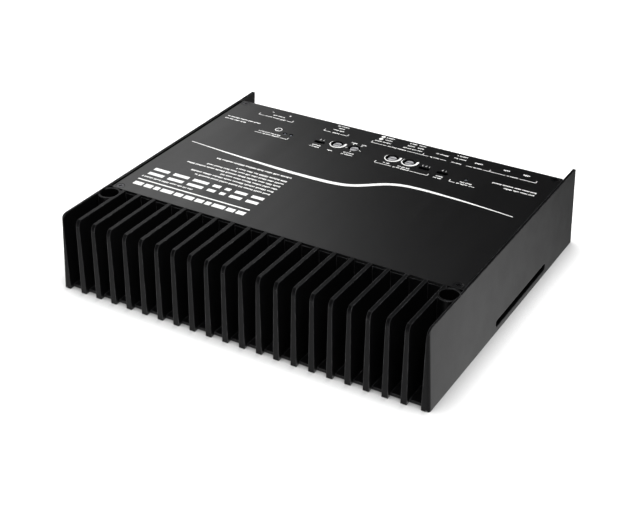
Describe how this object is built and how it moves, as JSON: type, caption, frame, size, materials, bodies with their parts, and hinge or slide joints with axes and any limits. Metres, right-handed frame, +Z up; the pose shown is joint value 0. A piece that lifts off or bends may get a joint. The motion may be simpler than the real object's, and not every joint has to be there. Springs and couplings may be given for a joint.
{
  "type": "car amplifier",
  "caption": "Compact finned car audio amplifier with trim dials, slide switches, jacks, pull-off plugs and set-screw terminals between two ears.",
  "frame": {"origin": "bottom centre of the case, on the surface it stands on", "axes": "+X along the row of fins, -Y towards the finned side, +Y towards the connector side, +Z up"},
  "size_m": [0.2604, 0.22, 0.053],
  "materials": {
    "chassis_black": "die-cast aluminium with a satin black coat",
    "cover_black": "fine-textured satin black sheet with white print",
    "plate_black": "matt black sheet",
    "screw_black": "black oxide steel",
    "circuit_board": "green solder mask",
    "winding": "enamelled copper winding on a ring core",
    "capacitor_sleeve": "dark printed sleeve with a bare top",
    "device_black": "black moulded package",
    "thermal_pad": "grey silicone",
    "steel": "zinc-plated steel",
    "brass": "gold-coloured plating",
    "black_plastic": "black moulded plastic",
    "dial_grey": "grey moulded plastic",
    "lamp_lens": "translucent light pipe"
  },
  "bodies": {
    "case": {"heatsink_chassis": "chassis_black", "top_cover": "cover_black", "connector_panel": "cover_black", "bottom_plate": "plate_black", "cover_screw_1": "screw_black", "cover_screw_2": "screw_black", "cover_screw_3": "screw_black", "cover_screw_4": "screw_black", "main_board": "circuit_board", "control_board": "circuit_board", "power_transformer": "winding", "output_inductor": "winding", "input_choke": "winding", "supply_capacitor_1": "capacitor_sleeve", "supply_capacitor_2": "capacitor_sleeve", "supply_capacitor_3": "capacitor_sleeve", "power_transistor_1": "device_black", "power_transistor_2": "device_black", "power_transistor_3": "device_black", "power_transistor_4": "device_black", "thermal_pad": "thermal_pad", "clamp_bar": "steel", "board_standoff_1": "brass", "board_standoff_2": "brass", "phono_input_lower": "brass", "phono_input_upper": "brass", "phono_output_lower": "brass", "phono_output_upper": "brass", "board_link": "black_plastic", "gain_body": "black_plastic", "crossover_body": "black_plastic", "bass_body": "black_plastic", "selector_body": "black_plastic", "phase_switch_body": "black_plastic", "filter_switch_body": "black_plastic", "remote_switch_body": "black_plastic", "power_terminal_block": "black_plastic", "speaker_terminal_block": "black_plastic", "remote_header": "black_plastic", "speaker_input_header": "black_plastic", "level_jack": "black_plastic", "link_jack": "black_plastic", "phono_input_housing": "black_plastic", "phono_output_housing": "black_plastic", "signal_lamp": "lamp_lens", "power_lamp": "lamp_lens", "protect_lamp": "lamp_lens"},
    "gain_dial": {"gain_dial": "dial_grey"},
    "crossover_dial": {"crossover_dial": "dial_grey"},
    "bass_dial": {"bass_dial": "dial_grey"},
    "selector_shaft": {"selector_shaft": "dial_grey"},
    "phase_switch_knob": {"phase_switch_knob": "black_plastic"},
    "filter_switch_knob": {"filter_switch_knob": "black_plastic"},
    "remote_switch_knob": {"remote_switch_knob": "black_plastic"},
    "power_clamp_screw_1": {"power_clamp_screw_1": "steel"},
    "power_clamp_screw_2": {"power_clamp_screw_2": "steel"},
    "speaker_clamp_screw_1": {"speaker_clamp_screw_1": "steel"},
    "speaker_clamp_screw_2": {"speaker_clamp_screw_2": "steel"},
    "remote_plug": {"remote_plug": "black_plastic"},
    "speaker_input_plug": {"speaker_input_plug": "black_plastic"}
  },
  "joints": [
    {"name": "gain_turn", "type": "hinge", "parent": "case", "child": "gain_dial", "pos_m": [0.0265, 0.0656, 0.048], "axis": [0, 0, 1], "range_deg": [-140, 140]},
    {"name": "crossover_turn", "type": "hinge", "parent": "case", "child": "crossover_dial", "pos_m": [0.0137, 0.0656, 0.048], "axis": [0, 0, 1], "range_deg": [-140, 140]},
    {"name": "bass_turn", "type": "hinge", "parent": "case", "child": "bass_dial", "pos_m": [-0.0288, 0.0656, 0.048], "axis": [0, 0, 1], "range_deg": [-140, 140]},
    {"name": "selector_turn", "type": "hinge", "parent": "case", "child": "selector_shaft", "pos_m": [-0.0156, 0.0656, 0.048], "axis": [0, 0, 1], "range_deg": [-90, 90]},
    {"name": "phase_slide", "type": "slide", "parent": "case", "child": "phase_switch_knob", "axis": [1, 0, 0], "range_m": [-0.002, 0.002]},
    {"name": "filter_slide", "type": "slide", "parent": "case", "child": "filter_switch_knob", "axis": [1, 0, 0], "range_m": [-0.002, 0.002]},
    {"name": "remote_slide", "type": "slide", "parent": "case", "child": "remote_switch_knob", "axis": [1, 0, 0], "range_m": [-0.002, 0.002]},
    {"name": "power_clamp_1", "type": "slide", "parent": "case", "child": "power_clamp_screw_1", "axis": [0, 0, 1], "range_m": [-0.005, 0]},
    {"name": "power_clamp_2", "type": "slide", "parent": "case", "child": "power_clamp_screw_2", "axis": [0, 0, 1], "range_m": [-0.005, 0]},
    {"name": "speaker_clamp_1", "type": "slide", "parent": "case", "child": "speaker_clamp_screw_1", "axis": [0, 0, 1], "range_m": [-0.005, 0]},
    {"name": "speaker_clamp_2", "type": "slide", "parent": "case", "child": "speaker_clamp_screw_2", "axis": [0, 0, 1], "range_m": [-0.005, 0]},
    {"name": "remote_plug_pull", "type": "slide", "parent": "case", "child": "remote_plug", "axis": [0, 1, 0], "range_m": [0, 0.012]},
    {"name": "speaker_input_plug_pull", "type": "slide", "parent": "case", "child": "speaker_input_plug", "axis": [0, 1, 0], "range_m": [0, 0.012]}
  ]
}
